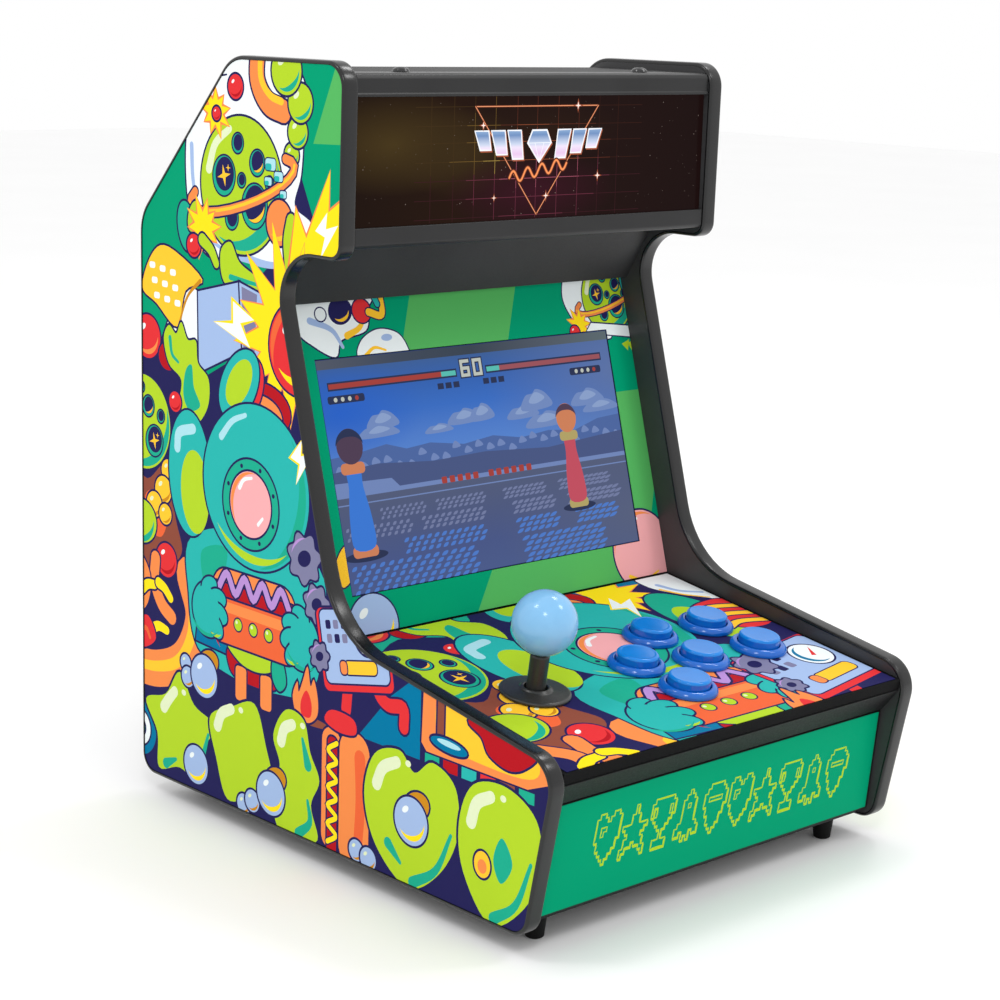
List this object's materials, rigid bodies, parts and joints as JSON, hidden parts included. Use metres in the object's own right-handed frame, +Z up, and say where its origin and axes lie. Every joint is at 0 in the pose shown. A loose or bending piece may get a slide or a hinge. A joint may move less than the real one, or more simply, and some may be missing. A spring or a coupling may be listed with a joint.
{
  "type": "bartop arcade cabinet",
  "caption": "Small countertop arcade game cabinet with lit header, sloping screen, ball-top joystick, push buttons and printed panels.",
  "frame": {"origin": "on the floor under the middle of the cabinet, at the height of the feet's undersides", "axes": "+X to the player's right, +Y to the back, +Z up; the screen and controls face -Y"},
  "size_m": [0.285, 0.3468, 0.4336],
  "materials": {
    "board_black": "matt black laminate on fibreboard",
    "molding_black": "satin black extruded plastic",
    "side_art": "satin laminated print, green with bright shapes",
    "bezel_art": "satin laminated print, green",
    "panel_art": "satin laminated print, bright shapes",
    "kick_art": "satin laminated print, green with lime outlines",
    "marquee_art": "smooth printed acrylic, near black",
    "screen": "smooth display glass over a bright picture",
    "button_blue": "glossy moulded blue plastic",
    "ball_blue": "glossy light blue plastic",
    "black_plastic": "satin black moulded plastic",
    "steel": "bright steel",
    "circuit": "green circuit board with parts",
    "rubber": "matt black rubber"
  },
  "bodies": {
    "cabinet": {"side_panel_left": "board_black", "side_panel_right": "board_black", "bottom_panel": "board_black", "rear_panel": "board_black", "rear_upper_panel": "board_black", "top_panel": "board_black", "speaker_panel": "board_black", "bezel_panel": "board_black", "control_panel": "board_black", "front_rail": "board_black", "kick_panel": "board_black", "t_molding_left": "molding_black", "t_molding_right": "molding_black", "marquee_top_retainer": "molding_black", "marquee_bottom_retainer": "molding_black", "side_graphic_left": "side_art", "side_graphic_right": "side_art", "bezel_graphic": "bezel_art", "control_panel_overlay": "panel_art", "kick_graphic": "kick_art", "marquee_panel": "marquee_art", "screen_panel": "screen", "button_housing_1": "button_blue", "button_housing_2": "button_blue", "button_housing_3": "button_blue", "button_housing_4": "button_blue", "button_housing_5": "button_blue", "button_housing_6": "button_blue", "joystick_body": "black_plastic", "joystick_gate": "black_plastic", "power_inlet": "black_plastic", "power_switch_frame": "black_plastic", "speaker_left": "black_plastic", "speaker_right": "black_plastic", "volume_control": "steel", "marquee_screw_left": "steel", "marquee_screw_right": "steel", "game_board": "circuit", "joystick_switch_board": "circuit", "marquee_light": "circuit", "foot_front_left": "rubber", "foot_front_right": "rubber", "foot_rear_left": "rubber", "foot_rear_right": "rubber"},
    "joystick_pivot": {"joystick_pivot": "black_plastic"},
    "joystick": {"joystick_shaft": "steel", "joystick_ball": "ball_blue", "joystick_shaft_cover": "black_plastic", "joystick_actuator": "black_plastic", "joystick_spring": "steel"},
    "dust_washer_lower": {"dust_washer_lower": "black_plastic"},
    "dust_washer_upper": {"dust_washer_upper": "black_plastic"},
    "power_switch": {"power_switch": "black_plastic"},
    "volume_knob": {"volume_knob": "black_plastic"},
    "button_1": {"button_plunger_1": "button_blue"},
    "button_2": {"button_plunger_2": "button_blue"},
    "button_3": {"button_plunger_3": "button_blue"},
    "button_4": {"button_plunger_4": "button_blue"},
    "button_5": {"button_plunger_5": "button_blue"},
    "button_6": {"button_plunger_6": "button_blue"}
  },
  "joints": [
    {"name": "joystick_fore_aft", "type": "hinge", "parent": "cabinet", "child": "joystick_pivot", "pos_m": [-0.077, -0.0893, 0.0874], "axis": [1, 0, 0], "range_deg": [-9, 9], "stiffness_Nm_per_rad": 0.4},
    {"name": "joystick_side", "type": "hinge", "parent": "joystick_pivot", "child": "joystick", "pos_m": [-0.077, -0.0893, 0.0874], "axis": [0, 0.99, 0.1411], "range_deg": [-9, 9], "stiffness_Nm_per_rad": 0.4},
    {"name": "dust_washer_side", "type": "slide", "parent": "cabinet", "child": "dust_washer_lower", "axis": [1, 0, 0], "range_m": [-0.0041, 0.0041]},
    {"name": "dust_washer_fore_aft", "type": "slide", "parent": "dust_washer_lower", "child": "dust_washer_upper", "axis": [0, 0.99, 0.1411], "range_m": [-0.0041, 0.0041]},
    {"name": "button_press_1", "type": "slide", "parent": "cabinet", "child": "button_1", "axis": [0, 0.1411, -0.99], "range_m": [0, 0.003], "stiffness_N_per_m": 200, "springref_m": -0.005},
    {"name": "button_press_2", "type": "slide", "parent": "cabinet", "child": "button_2", "axis": [0, 0.1411, -0.99], "range_m": [0, 0.003], "stiffness_N_per_m": 200, "springref_m": -0.005},
    {"name": "button_press_3", "type": "slide", "parent": "cabinet", "child": "button_3", "axis": [0, 0.1411, -0.99], "range_m": [0, 0.003], "stiffness_N_per_m": 200, "springref_m": -0.005},
    {"name": "button_press_4", "type": "slide", "parent": "cabinet", "child": "button_4", "axis": [0, 0.1411, -0.99], "range_m": [0, 0.003], "stiffness_N_per_m": 200, "springref_m": -0.005},
    {"name": "button_press_5", "type": "slide", "parent": "cabinet", "child": "button_5", "axis": [0, 0.1411, -0.99], "range_m": [0, 0.003], "stiffness_N_per_m": 200, "springref_m": -0.005},
    {"name": "button_press_6", "type": "slide", "parent": "cabinet", "child": "button_6", "axis": [0, 0.1411, -0.99], "range_m": [0, 0.003], "stiffness_N_per_m": 200, "springref_m": -0.005},
    {"name": "power_switch_rock", "type": "hinge", "parent": "cabinet", "child": "power_switch", "pos_m": [0.062, 0.1584, 0.052], "axis": [0, 0, 1], "range_deg": [-20, 0]},
    {"name": "volume_turn", "type": "hinge", "parent": "cabinet", "child": "volume_knob", "pos_m": [0.028, 0.1594, 0.052], "axis": [0, 1, 0], "range_deg": [-150, 150]}
  ],
  "couplings": [
    {"joint": "dust_washer_fore_aft", "follows": "joystick_fore_aft", "m_per_rad": -0.02485},
    {"joint": "dust_washer_side", "follows": "joystick_side", "m_per_rad": 0.02485}
  ]
}
